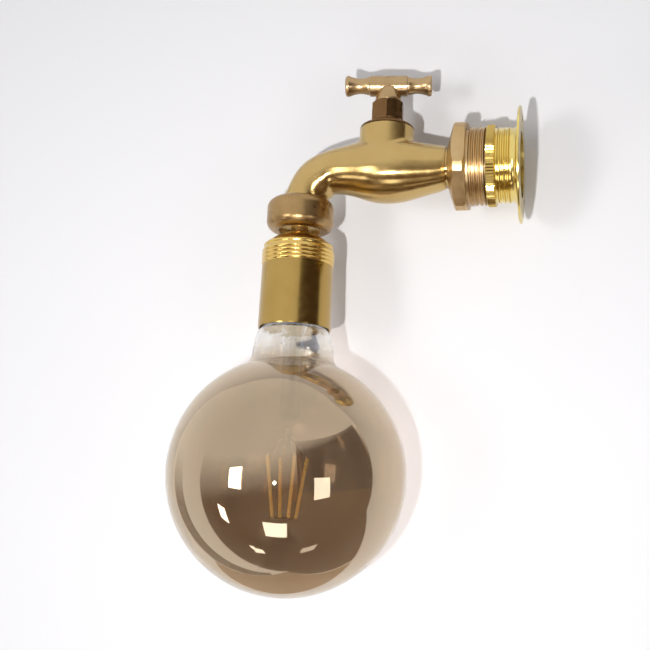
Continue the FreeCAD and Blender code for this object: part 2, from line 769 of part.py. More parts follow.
# ---------------------------------------------------------------- lamp
def lamp_cap():
    """Thin screw cap of the lamp with rounded threads."""
    corners = [(lamp_cap_nose_radius, cap_thread_top + 1.0)]
    count = int((cap_thread_top - cap_rim - 5.0) / shell_pitch)
    for index in range(count):
        station = cap_thread_top - shell_pitch * index
        corners += [(lamp_cap_root_radius, station - 0.02),
                    (lamp_cap_radius, station - 0.3 * shell_pitch, 0.5),
                    (lamp_cap_radius, station - 0.7 * shell_pitch, 0.5),
                    (lamp_cap_root_radius, station - 0.98 * shell_pitch)]
    corners += [(lamp_cap_root_radius, cap_rim), (cap_bore, cap_rim), (cap_bore, cap_thread_top - 0.4),
                (lamp_cap_nose_radius, cap_thread_top + 0.5)]
    return turned_upright(corners, lamp_distance)


def cap_insulator():
    """Black glass cone between the cap and its tip contact."""
    top = lamp_tip - tip_thickness
    bottom = cap_thread_top - 0.6
    outer = lamp_cap_nose_radius - thread_gap
    corners = [(tip_radius, top), (outer, cap_thread_top + 1.2), (outer, bottom), (2.0, bottom),
               (2.0, top)]
    return turned_upright(corners, lamp_distance)


def tip_contact():
    corners = [(0, lamp_tip - tip_thickness), (tip_radius, lamp_tip - tip_thickness),
               (tip_radius - 1.0, lamp_tip), (0, lamp_tip)]
    return turned_upright(corners, lamp_distance)


def globe_outline(inset):
    """Edges of the globe's section from the neck's end to the pole, drawn in by inset."""
    def at(radius, height):
        return V(radius, -lamp_distance, height)
    sphere = globe_radius - inset
    neck = neck_radius - inset
    bend = neck_fillet + inset
    # the fillet's centre stands outside the neck and touches the sphere from outside
    drop = math.sqrt((sphere + bend) ** 2 - (neck + bend) ** 2)
    centre_height = globe_centre + drop
    share = sphere / (sphere + bend)
    touch = at((neck + bend) * share, globe_centre + drop * share)
    angle = math.atan2(drop, neck + bend)
    bend_angle = math.pi + angle / 2
    bend_middle = at(neck + bend + bend * math.cos(bend_angle),
                     centre_height + bend * math.sin(bend_angle))
    neck_bottom = at(neck, centre_height)
    rim_point = at(neck_rim_radius - inset, skirt_rim - 1.8)
    throat = at(neck_end_radius - inset, cap_rim - 0.2)
    top = at(neck_end_radius - inset, cap_rim + neck_end_overlap)
    flare = Part.BSplineCurve()
    flare.interpolate([throat, at(neck_end_radius + 3.2 - inset, cap_rim - 2.2), rim_point,
                       at(neck_radius - 0.7 - inset, skirt_rim - 7.5), neck_bottom],
                      InitialTangent=V(0, 0, -1), FinalTangent=V(0, 0, -1))
    sphere_angle = angle / 2 - math.pi / 4
    sphere_middle = at(sphere * math.cos(sphere_angle), globe_centre + sphere * math.sin(sphere_angle))
    pole = at(0, globe_centre - sphere)
    return top, pole, [Part.LineSegment(top, throat).toShape(), flare.toShape(),
                       Part.Arc(neck_bottom, bend_middle, touch).toShape(),
                       Part.Arc(touch, sphere_middle, pole).toShape()]


def glass_globe():
    """Blown globe with its neck, open at the top inside the lamp's cap."""
    outer_top, outer_pole, outer = globe_outline(0)
    inner_top, inner_pole, inner = globe_outline(globe_wall)
    closing = [Part.LineSegment(outer_pole, inner_pole).toShape(),
               Part.LineSegment(outer_top, inner_top).toShape()]
    wire = Part.Wire(Part.__sortEdges__(outer + inner + closing))
    return Part.Face(wire).revolve(V(0, -lamp_distance, 0), V(0, 0, 1), 360)


def glass_stem():
    """Flared foot sealed in the neck's end, a tube, and the pinch that holds the wires."""
    foot = neck_end_radius - globe_wall - 0.05
    bore = stem_radius - stem_wall
    flare_end = stem_foot_top - 2.4 * stem_foot_height
    flare_middle = stem_foot_top - stem_foot_height
    corners = [(foot, stem_foot_top), (foot, stem_foot_top - stem_wall),
               (stem_flare_radius, flare_middle), (stem_radius, flare_end, 3.0),
               (stem_radius, stem_bottom, 1.5), (pinch_radius, stem_bottom - 1.5),
               (pinch_radius, pinch_end, 0.8), (0, pinch_end), (0, stem_floor),
               (bore, stem_floor, 1.0), (bore, flare_end + 0.3, 3.0),
               (stem_flare_radius - stem_wall, flare_middle + 0.8), (foot - 1.6, stem_foot_top)]
    return turned_upright(corners, lamp_distance)


def exhaust_tube():
    return ring(exhaust_radius - exhaust_wall, exhaust_radius, stem_floor, cap_rim + 1.0,
                lamp_distance)


def filament_ends(index):
    """Top and bottom points of one filament, which leans in towards the lamp's axis."""
    angle = math.radians(filament_turn + 360 / filament_count * index)
    outward = V(math.cos(angle), math.sin(angle), 0)
    top = V(0, -lamp_distance, filament_top) + outward * filament_top_circle
    bottom = V(0, -lamp_distance, filament_bottom) + outward * filament_bottom_circle
    return top, bottom


def led_filament(index):
    top, bottom = filament_ends(index)
    return Part.makeCylinder(filament_radius, (bottom - top).Length, top, bottom - top)


def support_wires():
    """One wire from the pinch to the top of each filament."""
    wires = []
    for index in range(filament_count):
        top, bottom = filament_ends(index)
        outward = V(top.x, top.y + lamp_distance, 0).normalize()
        root = V(0, -lamp_distance, pinch_end) + outward * 1.4
        elbow = root + V(0, 0, -7.0) + outward * 3.0
        tip = top + (top - bottom).normalize() * loose_gap
        wires.append(tube([root, root + V(0, 0, -3.0), elbow, tip], wire_radius))
    return Part.makeCompound(wires)


def filament_links():
    """Bars that join the filaments' lower ends in pairs."""
    links = []
    for index in range(0, filament_count, 2):
        first = filament_ends(index)[1]
        second = filament_ends(index + 1)[1]
        along = second - first
        length = along.Length + 2 * link_overhang
        start = first - V(0, 0, link_drop) - along.normalize() * link_overhang
        links.append(Part.makeCylinder(link_radius, length, start, along))
    return Part.makeCompound(links)


def driver_board():
    """Small board across the lamp's cap, with one tall component."""
    bottom = cap_rim + neck_end_overlap + 1.0
    back = -driver_thickness / 2
    board = Part.makeBox(driver_thickness, driver_width, driver_height,
                         V(back, -lamp_distance - driver_width / 2, bottom))
    half_foot = cap_bore - 0.2
    foot = Part.makeBox(driver_thickness, 2 * half_foot, 2.0,
                        V(back, -lamp_distance - half_foot, bottom))
    capacitor = upright_cylinder(2.5, bottom + 3.0, bottom + 10.0, lamp_distance, 2.5 - back)
    chip = Part.makeBox(1.5, 4.0, 5.0, V(back - 1.5, -lamp_distance - 2.0, bottom + 4.0))
    return board.fuse([foot, capacitor, chip])


# ---------------------------------------------------------------- wiring
def terminal_block():
    """Three-way connector that lies in the collar; its lower edges rest on the bore."""
    block = Part.makeBox(block_width, block_depth, block_height,
                         V(-block_width / 2, -block_front, block_bottom))
    for index in (-1, 0, 1):
        across = index * block_pitch
        start = V(across, 1 - block_back, block_bottom + wire_hole_height)
        wire_hole = Part.makeCylinder(wire_hole_radius, block_depth + 2, start, V(0, -1, 0))
        screw_hole = upright_cylinder(block_screw_radius + thread_gap, block_bottom + 4.2,
                                      block_bottom + block_height + 1, block_middle, across)
        block = block.cut(wire_hole).cut(screw_hole)
    return block


def block_screws():
    head_top = block_bottom + block_height - 0.8
    screws = []
    for index in (-1, 0, 1):
        across = index * block_pitch
        head = upright_cylinder(block_screw_radius, block_bottom + 4.3, head_top, block_middle, across)
        corner = V(across - 2.0, -block_middle - 0.3, head_top - block_slot_depth)
        screws.append(head.cut(Part.makeBox(4.0, 0.6, block_slot_depth, corner)))
    return Part.makeCompound(screws)


def lamp_lead():
    """Sheathed lead from the terminal block, under the valve, round the neck to the lampholder."""
    height = block_bottom + wire_hole_height
    neck = lamp_distance - boss_distance
    route = [(lead_start, height), (lead_start + 7.5, height + 1.2), (tail_start - 8.4, -3.2),
             (tail_start + 6.1, -4.2), (boss_distance - 13.1, -8.6), (boss_distance + 4.9, -9.2),
             (boss_distance + 0.45 * neck, -4.0), (boss_distance + 0.73 * neck, -3.2),
             (lamp_distance, spout_thread_top + 4.6), (lamp_distance, lead_end)]
    points = [V(0, -distance, height) for distance, height in route]
    return tube(points, lead_radius)


def lead_tails():
    """The lead's three cores where they enter the terminal block."""
    height = block_bottom + wire_hole_height
    cores = []
    for index in (-1, 0, 1):
        across = index * block_pitch
        start = V(index * 1.5, loose_gap - lead_start, height)
        mouth = V(across, 1.0 - block_middle, height)
        if index == 0:
            cores.append(tube([start, mouth], core_radius))
        else:
            near = start + V(0, 0.6, 0)
            far = V(across, 0.7 - lead_start, height)
            cores.append(tube([start, near, far, mouth], core_radius))
    return Part.makeCompound(cores)


def holder_cores():
    """Live and neutral cores from the nipple to the terminal screws."""
    cores = []
    for side in (-1, 1):
        start = V(side * 1.4, -lamp_distance, lead_end)
        below = V(side * 1.4, -lamp_distance, nipple_bottom - 1.6)
        end = V(side * (terminal_offset - terminal_radius - 0.2), -lamp_distance,
                insulator_top + core_radius + 0.1)
        cores.append(tube([start, below, end], core_radius))
    return Part.makeCompound(cores)


def earth_core():
    """Earth core from the lead's end to the ring tag."""
    start = V(0, -lamp_distance + 1.5, lead_end)
    reach = locknut_across_flats / 2 / math.cos(math.pi / 6) + core_radius + loose_gap
    below = V(0, -lamp_distance + 1.5, nipple_bottom - 1.9)
    side = V(0, -lamp_distance + reach, nipple_bottom - 1.9)
    end = V(0, -lamp_distance + reach, tag_bottom)
    return tube([start, below, side, end], core_radius)


# ---------------------------------------------------------------- build
nodes = {
    "wall_flange": wall_flange,
    "knurled_lock_ring": knurled_lock_ring,
    "hex_bushing": hex_bushing,
    "tap_body": tap_body,
    "bonnet": bonnet,
    "gland_packing": gland_packing,
    "gland_nut": gland_nut,
    "spindle": spindle,
    "handle_hub": handle_hub,
    "handle_stud": handle_stud,
    "handle_end_front": lambda: handle_end(-1),
    "handle_end_wall": lambda: handle_end(1),
    "valve_jumper": valve_jumper,
    "tap_washer": tap_washer,
    "washer_nut": washer_nut,
    "union_nut": union_nut,
    "union_seal": union_seal,
    "nipple_plate": nipple_plate,
    "nipple": nipple,
    "upper_locknut": lambda: locknut(plate_face),
    "lower_locknut": lambda: locknut(tag_bottom - locknut_thickness),
    "lampholder_cap": lampholder_cap,
    "lampholder_skirt": lampholder_skirt,
    "lampholder_insulator": lampholder_insulator,
    "screw_shell": screw_shell,
    "centre_contact": centre_contact,
    "terminal_screws": terminal_screws,
    "earth_tag": earth_tag,
    "lamp_cap": lamp_cap,
    "cap_insulator": cap_insulator,
    "tip_contact": tip_contact,
    "glass_globe": glass_globe,
    "glass_stem": glass_stem,
    "exhaust_tube": exhaust_tube,
    "support_wires": support_wires,
    "filament_links": filament_links,
    "driver_board": driver_board,
    "terminal_block": terminal_block,
    "block_screws": block_screws,
    "lamp_lead": lamp_lead,
    "lead_tails": lead_tails,
    "holder_cores": holder_cores,
    "earth_core": earth_core,
}
for index in range(filament_count):
    nodes["led_filament_%d" % (index + 1)] = lambda index=index: led_filament(index)

for node, make in nodes.items():
    save(node, make())
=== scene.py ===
# %% [markdown]
# # A wall light made from a brass tap
#
# The object is a bib tap in several kinds of brass, with a screw lampholder and a large
# smoked globe lamp under its spout. It lies on white paper, and ceiling lamps shine on it.
#
# The turned and cast pieces come as a imported CAD model, in metres. Blender adds what the
# CAD can't: polished and worn metal, smoked glass, the paper and the light. The first cell
# loads the model and prints its size.

# %% Load the imported model
import math

import bpy
from mathutils import Matrix, Vector


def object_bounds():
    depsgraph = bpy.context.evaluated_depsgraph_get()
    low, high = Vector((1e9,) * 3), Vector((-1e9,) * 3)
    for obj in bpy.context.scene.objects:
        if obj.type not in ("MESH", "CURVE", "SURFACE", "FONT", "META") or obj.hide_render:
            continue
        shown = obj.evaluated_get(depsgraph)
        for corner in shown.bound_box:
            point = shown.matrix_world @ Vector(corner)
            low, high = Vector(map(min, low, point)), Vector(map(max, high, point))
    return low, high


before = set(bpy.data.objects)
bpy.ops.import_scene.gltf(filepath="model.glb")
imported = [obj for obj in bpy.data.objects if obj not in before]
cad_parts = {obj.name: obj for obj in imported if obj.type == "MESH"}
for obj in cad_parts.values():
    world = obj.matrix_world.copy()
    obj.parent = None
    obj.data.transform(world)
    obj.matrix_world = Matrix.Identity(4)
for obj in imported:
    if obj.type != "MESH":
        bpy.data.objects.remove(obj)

cad_low, cad_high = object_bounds()
cad_size = [round(v * 1000, 1) for v in cad_high - cad_low]
print("CAD nodes:", len(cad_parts), "size in mm:", cad_size)

# %% [markdown]
# ## The camera
#
# The photograph was taken from the side, a little from below and slightly turned. A camera
# can be placed by eye, but measuring is surer: known circles and axes of the lamp were
# fitted to the picture, which gave the direction, the distance and the lens used here.

# %% Work out the camera's directions
turn, tilt, roll = math.radians(13.6), math.radians(-12.4), math.radians(2.8)
towards_camera = Vector((math.cos(turn) * math.cos(tilt),
                         math.sin(turn) * math.cos(tilt),
                         math.sin(tilt)))
across = Vector((0, 0, 1)).cross(towards_camera).normalized()
upward = towards_camera.cross(across)
picture_right = math.cos(roll) * across + math.sin(roll) * upward
picture_up = math.cos(roll) * upward - math.sin(roll) * across
facing = Matrix((picture_right, picture_up, towards_camera)).transposed().to_4x4()
print("the camera looks along", [round(-v, 3) for v in towards_camera])

# %% Place the camera
photo_width, focal_length = 650, 1099  # both in pixels
looked_at, camera_distance = Vector((0.0, -0.1028, -0.0864)), 0.586
globe_centre = Vector((0.0, -0.1196, -0.1666))

camera_data = bpy.data.cameras.new("camera")
camera_data.sensor_width = 36.0
camera_data.lens = camera_data.sensor_width * focal_length / photo_width
camera_data.clip_start, camera_data.clip_end = 0.01, 50.0
camera = bpy.data.objects.new("camera", camera_data)
bpy.context.scene.collection.objects.link(camera)
camera.matrix_world = Matrix.Translation(looked_at + towards_camera * camera_distance) @ facing
bpy.context.scene.camera = camera
print("camera at", [round(v, 3) for v in camera.location], "lens", round(camera_data.lens, 1))

# %% [markdown]
# ## Finishes are node trees
#
# Every finish starts from one Principled shader. The first helper makes the material and
# gives back the few things each finish needs: its nodes, its links and the shader. A short
# one finds the output, for the finishes that need more than that shader. The last adds a
# node and wires it in one line, which keeps the finishes readable.


# %% Start a finish and add nodes to it
def new_finish(name):
    """A material with one Principled shader on its output."""
    material = bpy.data.materials.new(name)
    material.use_nodes = True
    nodes = material.node_tree.nodes
    shader = next(node for node in nodes if node.type == "BSDF_PRINCIPLED")
    return material, nodes, material.node_tree.links, shader


def surface_of(nodes):
    """The output's socket that takes what the surface shows."""
    return next(node for node in nodes if node.type == "OUTPUT_MATERIAL").inputs["Surface"]


def add_node(nodes, links, kind, inputs=None, **settings):
    """A node of one kind; inputs maps a socket to a value or to another node's output."""
    node = nodes.new(kind)
    for key, value in settings.items():
        setattr(node, key, value)
    for socket, value in (inputs or {}).items():
        if isinstance(value, bpy.types.NodeSocket):
            links.new(value, node.inputs[socket])
        else:
            node.inputs[socket].default_value = value
    return node


print("finishes so far:", len(bpy.data.materials))

# %% [markdown]
# ## Four nodes that most finishes need
#
# Real surfaces are uneven, so most finishes use noise, spread it over a range, mix
# two colours with it and raise a bump with it. Each of the four gets a helper of its own,
# and a fifth gives the coordinates, which are the object's own so that noise moves with it.
# A Mix node keeps its colours in sockets that share their names with other kinds of mix, so
# those sockets are picked by number.

# %% Helpers for uneven surfaces
noise_low, noise_high = 0.3, 0.7  # most of a noise texture's values lie between these
colour_a, colour_b, colour_result = 6, 7, 2  # colour sockets of a Mix node


def own_place(nodes, links):
    """Coordinates that move with the object."""
    return add_node(nodes, links, "ShaderNodeTexCoord").outputs["Object"]


def noise(nodes, links, place, scale, detail, roughness=0.5):
    inputs = {"Vector": place, "Scale": scale, "Detail": detail, "Roughness": roughness}
    return add_node(nodes, links, "ShaderNodeTexNoise", inputs).outputs["Fac"]


def spread_over(nodes, links, value, low, high):
    """Spreads noise over low to high."""
    inputs = {"Value": value, "From Min": noise_low, "From Max": noise_high,
              "To Min": low, "To Max": high}
    return add_node(nodes, links, "ShaderNodeMapRange", inputs).outputs["Result"]


def mix_colours(nodes, links, factor, first, second):
    """Mixes two colours, of which each is a value or another node's output."""
    first, second = [colour if isinstance(colour, bpy.types.NodeSocket) else (*colour, 1)
                     for colour in (first, second)]
    inputs = {"Factor": factor, colour_a: first, colour_b: second}
    mix = add_node(nodes, links, "ShaderNodeMix", inputs, data_type="RGBA")
    return mix.outputs[colour_result]


def bump(nodes, links, height, distance, normal=None):
    """Dents as deep as distance, in metres, on top of another bump's normal if one is given."""
    inputs = {"Height": height, "Strength": 1.0, "Distance": distance}
    if normal:
        inputs["Normal"] = normal
    return add_node(nodes, links, "ShaderNodeBump", inputs).outputs["Normal"]


print("a Mix node's colours are its sockets", colour_a, "and", colour_b)

# %% [markdown]
# ## Brass
#
# Brass is copper with zinc. Its colour depends on the mix and on what was done to it: the
# pressed wall disc and the lampholder are lemon yellow, the polished tap is warm gold, and
# the bushing and the nuts are brown and dull from handling; the bonnet and the gland nut are
# darker still, partly by painted shade from the handle above them. Metal has no colour of
# its own apart from what it mirrors, so the finish is mostly roughness: low where it is polished,
# higher where it is cast, and uneven everywhere. Noise at four scales does that. Blotches
# shift the colour as tarnish does, waves dent the surface a little, as hand polishing leaves
# it, smudges spread the roughness, and fine grain breaks up the shine. A piece that was
# brushed round an axis also draws what it mirrors out into bands along that axis.

# %% Make a brass finish
blotch_scale, wave_scale, smudge_scale, grain_scale = 45.0, 70.0, 260.0, 900.0
quarter_turn = 0.25  # turns the bands from round the axis to along it


def brass_finish(name, bright, dull, roughness, waviness=0.0, grain=0.0, tarnish=0.5,
                 brushed=0.0, axis="Z"):
    """bright and dull are colours, roughness is a pair, waviness and grain are depths."""
    material, nodes, links, shader = new_finish(name)
    place = own_place(nodes, links)
    blotches = noise(nodes, links, place, blotch_scale, detail=5.0, roughness=0.6)
    smudges = noise(nodes, links, place, smudge_scale, detail=4.0, roughness=0.65)
    waves = noise(nodes, links, place, wave_scale, detail=1.0, roughness=0.4)
    fine = noise(nodes, links, place, grain_scale, detail=3.0, roughness=0.6)
    amount = spread_over(nodes, links, blotches, 0.0, tarnish)
    links.new(mix_colours(nodes, links, amount, bright, dull), shader.inputs["Base Color"])
    links.new(spread_over(nodes, links, smudges, *roughness), shader.inputs["Roughness"])
    wavy = bump(nodes, links, waves, waviness)
    links.new(bump(nodes, links, fine, grain, wavy), shader.inputs["Normal"])
    shader.inputs["Metallic"].default_value = 1.0
    if brushed:
        shader.inputs["Anisotropic"].default_value = brushed
        shader.inputs["Anisotropic Rotation"].default_value = quarter_turn
        round_axis = add_node(nodes, links, "ShaderNodeTangent", direction_type="RADIAL", axis=axis)
        links.new(round_axis.outputs["Tangent"], shader.inputs["Tangent"])
    return material


print("noise per metre:", blotch_scale, wave_scale, smudge_scale, grain_scale)

# %% [markdown]
# ## Ten brasses
#
# Each piece of the light was made and worn in its own way, so each family of pieces has its
# own mix of the recipe. Three mixes hold painted light as well: the brass of the lampholder's
# cap and of the inner pieces is painted brighter, and the bonnet's brown holds painted shade.
# The two colours of each were set by comparing renders with the photograph, and so was the
# pair of roughness values.

# %% Bright and polished brass
pressed_brass = brass_finish("pressed_brass", (0.80, 0.65, 0.24), (0.68, 0.50, 0.14), (0.12, 0.24),
                             waviness=0.00010, grain=0.000006)
knurl_brass = brass_finish("knurl_brass", (0.58, 0.42, 0.13), (0.48, 0.33, 0.09), (0.16, 0.28),
                           grain=0.000006)
holder_brass = brass_finish("holder_brass", (0.46, 0.31, 0.10), (0.37, 0.235, 0.06), (0.14, 0.26),
                            waviness=0.00008, grain=0.000005)
# Painted light: the cap's brass is a brighter copy of the holder's, painted to give the cap's top
# cone its brightness.
cap_brass_painted_bright = brass_finish("cap_brass_painted_bright", (0.74, 0.52, 0.17), (0.62, 0.42, 0.12), (0.16, 0.28),
                         grain=0.000006)
polished_brass = brass_finish("polished_brass", (0.56, 0.40, 0.165), (0.46, 0.315, 0.11),
                              (0.17, 0.27), waviness=0.00022, grain=0.000004,
                              brushed=0.8, axis="Y")
print("bright finishes:", len(bpy.data.materials))

# %% Worn and inner brass
satin_brass = brass_finish("satin_brass", (0.62, 0.45, 0.24), (0.46, 0.31, 0.14), (0.26, 0.42),
                           waviness=0.00010, grain=0.00002, tarnish=0.9)
union_brass = brass_finish("union_brass", (0.42, 0.28, 0.13), (0.30, 0.185, 0.075), (0.24, 0.38),
                           waviness=0.00008, grain=0.000014, tarnish=0.9)
# Part real brown, part painted shade: the bonnet and the gland nut are painted darker for the shade
# that the handle above casts on them.
brown_brass_and_painted_shade = brass_finish("brown_brass_and_painted_shade", (0.22, 0.125, 0.05), (0.16, 0.085, 0.035), (0.20, 0.34),
                           waviness=0.00008, grain=0.000012, tarnish=0.9)
handle_brass = brass_finish("handle_brass", (0.52, 0.37, 0.20), (0.36, 0.24, 0.12), (0.24, 0.36),
                            waviness=0.00003, grain=0.00001, tarnish=0.8)
# Painted light: the inner brass is painted brighter than it is, to make up for the shade on the
# nipple between the union nut and the lampholder's cap.
inner_brass = brass_finish("inner_brass", (0.80, 0.60, 0.26), (0.70, 0.50, 0.19), (0.22, 0.36),
                           grain=0.000006)
print("brass finishes:", [m.name for m in bpy.data.materials if "brass" in m.name])

# %% [markdown]
# ## Put the brass on the tap
#
# The CAD nodes keep their shapes and only change their material. A short table says which
# finish each node takes; a loop then fills the material slots.


# %% Finish the metal nodes
def finish_nodes(finish, names):
    """Gives the nodes one finish."""
    for name in names:
        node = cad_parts[name]
        node.data.materials.clear()
        node.data.materials.append(finish)
    print(finish.name, "on", len(names), "nodes")


brass_nodes = [
    (pressed_brass, ["wall_flange"]),
    (knurl_brass, ["knurled_lock_ring"]),
    (cap_brass_painted_bright, ["lampholder_cap"]),
    (holder_brass, ["lampholder_skirt"]),
    (polished_brass, ["tap_body"]),
    (satin_brass, ["hex_bushing"]),
    (union_brass, ["union_nut"]),
    (brown_brass_and_painted_shade, ["bonnet", "gland_nut"]),
    (handle_brass, ["handle_hub", "handle_end_front", "handle_end_wall", "spindle",
                    "handle_stud"]),
    (inner_brass, ["valve_jumper", "washer_nut", "nipple_plate", "nipple", "upper_locknut",
                   "lower_locknut", "screw_shell", "centre_contact", "terminal_screws",
                   "earth_tag"]),
]
for finish, names in brass_nodes:
    finish_nodes(finish, names)

# %% [markdown]
# ## The small inner pieces
#
# Rubber, porcelain, plastic and wire hide inside the tap and the lampholder. They show only
# when the light is taken apart, but each still gets its own finish: a dull or glossy
# surface, with noise in its colour and roughness so that it isn't flat.

# %% Make a plain finish
pore_scale, pore_depth = 700.0, 0.00001


def plain_finish(name, colour, darker, roughness):
    """A surface of two near colours, with fine pores and a roughness 15 percent either way."""
    material, nodes, links, shader = new_finish(name)
    pores = noise(nodes, links, own_place(nodes, links), pore_scale, detail=4.0)
    shine = spread_over(nodes, links, pores, roughness * 0.85, roughness * 1.15)
    links.new(mix_colours(nodes, links, pores, colour, darker), shader.inputs["Base Color"])
    links.new(shine, shader.inputs["Roughness"])
    links.new(bump(nodes, links, pores, pore_depth), shader.inputs["Normal"])
    return material


print("finishes so far:", len(bpy.data.materials))

# %% Finish the inner pieces
plain_nodes = [
    ("porcelain", (0.86, 0.84, 0.78), (0.80, 0.78, 0.71), 0.15, ["lampholder_insulator"]),
    ("washer_rubber", (0.05, 0.05, 0.05), (0.03, 0.03, 0.03), 0.7, ["tap_washer", "union_seal"]),
    ("packing_cord", (0.55, 0.52, 0.45), (0.38, 0.35, 0.30), 0.9, ["gland_packing"]),
    ("black_glass", (0.03, 0.03, 0.035), (0.02, 0.02, 0.02), 0.12, ["cap_insulator"]),
    ("circuit_board", (0.10, 0.28, 0.16), (0.07, 0.20, 0.11), 0.4, ["driver_board"]),
    ("block_plastic", (0.85, 0.84, 0.80), (0.78, 0.77, 0.72), 0.45, ["terminal_block"]),
    ("lead_sheath", (0.08, 0.08, 0.08), (0.05, 0.05, 0.05), 0.5, ["lamp_lead"]),
    ("core_sheath", (0.45, 0.25, 0.12), (0.36, 0.19, 0.09), 0.45, ["lead_tails", "holder_cores"]),
    ("earth_sheath", (0.25, 0.50, 0.15), (0.40, 0.45, 0.10), 0.45, ["earth_core"]),
]
for name, colour, darker, roughness, names in plain_nodes:
    finish_nodes(plain_finish(name, colour, darker, roughness), names)

# %% [markdown]
# ## Bright wire and the lamp's cap
#
# The lamp's cap is nickelled, so it is paler than the holder. The support wires and the
# screws of the terminal block are bright steel. Both are metals with a little spread in
# their roughness, which the brass recipe gives as well.

# %% Finish the lamp's metal
lamp_cap_metal = brass_finish("lamp_cap_metal", (0.78, 0.72, 0.58), (0.66, 0.58, 0.42),
                              (0.16, 0.30), grain=0.000005)
wire_metal = brass_finish("wire_metal", (0.62, 0.62, 0.60), (0.50, 0.50, 0.49), (0.2, 0.34),
                          grain=0.000003)
finish_nodes(lamp_cap_metal, ["lamp_cap", "tip_contact"])
finish_nodes(wire_metal, ["support_wires", "filament_links", "block_screws"])

# %% [markdown]
# ## The filaments
#
# Each filament is a thin strip of small light chips, covered with a soft amber coating. The
# chips show through as faint lighter bands. A wave texture along the height makes the
# bands; the coating itself is a waxy, slightly rough plastic.

# %% Amber filaments
amber, pale_amber = (0.85, 0.46, 0.10), (0.95, 0.66, 0.25)
filament_coating, nodes, links, shader = new_finish("filament_coating")
bands = add_node(nodes, links, "ShaderNodeTexWave",
                 {"Vector": own_place(nodes, links), "Scale": 160.0, "Distortion": 0.4},
                 bands_direction="Z")
links.new(mix_colours(nodes, links, bands.outputs["Fac"], amber, pale_amber),
          shader.inputs["Base Color"])
shader.inputs["Roughness"].default_value = 0.45
shader.inputs["Subsurface Weight"].default_value = 0.15
shader.inputs["Subsurface Scale"].default_value = 0.001
finish_nodes(filament_coating, ["led_filament_%d" % number for number in (1, 2, 3, 4)])

# %% [markdown]
# ## Clear and smoked glass
#
# Glass is a Principled shader with full transmission. The stem inside the lamp is clear.
# The globe is coated inside with a thin smoky metal film, so it is half a mirror: it is
# brown where one looks through both walls, and it mirrors the white paper at its rim and
# the room and its lamps in the middle. A higher index of refraction stands in for the film,
# because it makes the shader mirror more while the thin wall hardly bends the light.


# %% Make the glass
def glass_finish(name, tint, index):
    """Clear glass of one colour that is a little uneven."""
    material, nodes, links, shader = new_finish(name)
    cloud = noise(nodes, links, own_place(nodes, links), scale=30.0, detail=3.0)
    darker = [value * 0.95 for value in tint]
    links.new(mix_colours(nodes, links, cloud, tint, darker), shader.inputs["Base Color"])
    shader.inputs["Roughness"].default_value = 0.0
    shader.inputs["IOR"].default_value = index
    shader.inputs["Transmission Weight"].default_value = 1.0
    return material, nodes, links, shader


clear_glass, *_ = glass_finish("clear_glass", (0.95, 0.96, 0.95), index=1.5)
finish_nodes(clear_glass, ["glass_stem", "exhaust_tube"])

# %% Start the smoked glass
mirror_tint = (1.0, 0.82, 0.60)
smoky_glass, nodes, links, shader = glass_finish("smoky_glass", (0.44, 0.35, 0.262), index=3.3)
shader.inputs["Specular Tint"].default_value = (*mirror_tint, 1)
finish_nodes(smoky_glass, ["glass_globe"])

# %% [markdown]
# ## Where the smoked glass is paler
#
# The globe's edge is pale as well, and that is painted reflection: seen at a slant, the film
# mirrors more than it filters, so its colour is painted paler there. Layer Weight tells how
# steeply the wall is seen, and the height tells where the film ends.

# %% Painted reflection at the edge and clear neck
# Painted reflection: the globe's colour turns pale where its wall is seen at a slant.
painted_reflection_start, painted_reflection_end, painted_reflection_tint = 0.25, 0.80, (0.93, 0.85, 0.73)
film_start, film_end, neck_tint = -0.114, -0.094, (0.97, 0.96, 0.94)

smoke = shader.inputs["Base Color"].links[0].from_socket
slope = add_node(nodes, links, "ShaderNodeLayerWeight", {"Blend": 0.5}).outputs["Facing"]
painted_reflection_mask = add_node(nodes, links, "ShaderNodeMapRange",
               {"Value": slope, "From Min": painted_reflection_start, "From Max": painted_reflection_end}).outputs["Result"]
height = add_node(nodes, links, "ShaderNodeSeparateXYZ",
                  {"Vector": own_place(nodes, links)}).outputs["Z"]
neck = add_node(nodes, links, "ShaderNodeMapRange",
                {"Value": height, "From Min": film_start, "From Max": film_end},
                interpolation_type="SMOOTHSTEP").outputs["Result"]
# The smoke colour is painted paler towards the globe's edge, as painted reflection.
with_painted_reflection = mix_colours(nodes, links, painted_reflection_mask, smoke, painted_reflection_tint)
links.new(mix_colours(nodes, links, neck, with_painted_reflection, neck_tint), shader.inputs["Base Color"])
print("the film fades between heights of", film_start * 1000, "and", film_end * 1000, "mm")

# %% [markdown]
# ## A faint shadow
#
# Glass stops the light of a lamp in the render as metal does, but a real globe lets most of
# it through. So where a ray only asks for shadow, a pale tint takes the glass's place.

# %% Let the lamps through
shadow_tint = (0.89, 0.865, 0.85)
for_shadow = add_node(nodes, links, "ShaderNodeLightPath").outputs["Is Shadow Ray"]
faint = add_node(nodes, links, "ShaderNodeBsdfTransparent", {"Color": (*shadow_tint, 1)})
either = add_node(nodes, links, "ShaderNodeMixShader",
                  {0: for_shadow, 1: shader.outputs["BSDF"], 2: faint.outputs["BSDF"]})
links.new(either.outputs["Shader"], surface_of(nodes))
print("nodes in the smoked glass:", len(nodes))

# %% [markdown]
# ## The paper
#
# In the photograph the light lies on white paper, on its globe and on the edge of its wall
# disc, so the paper leans a little against the object. It is also what the metal and the
# glass mirror at their edges, and it ends just outside the picture. It is drawn on its
# front only, so that it doesn't hide the light from a camera behind it.


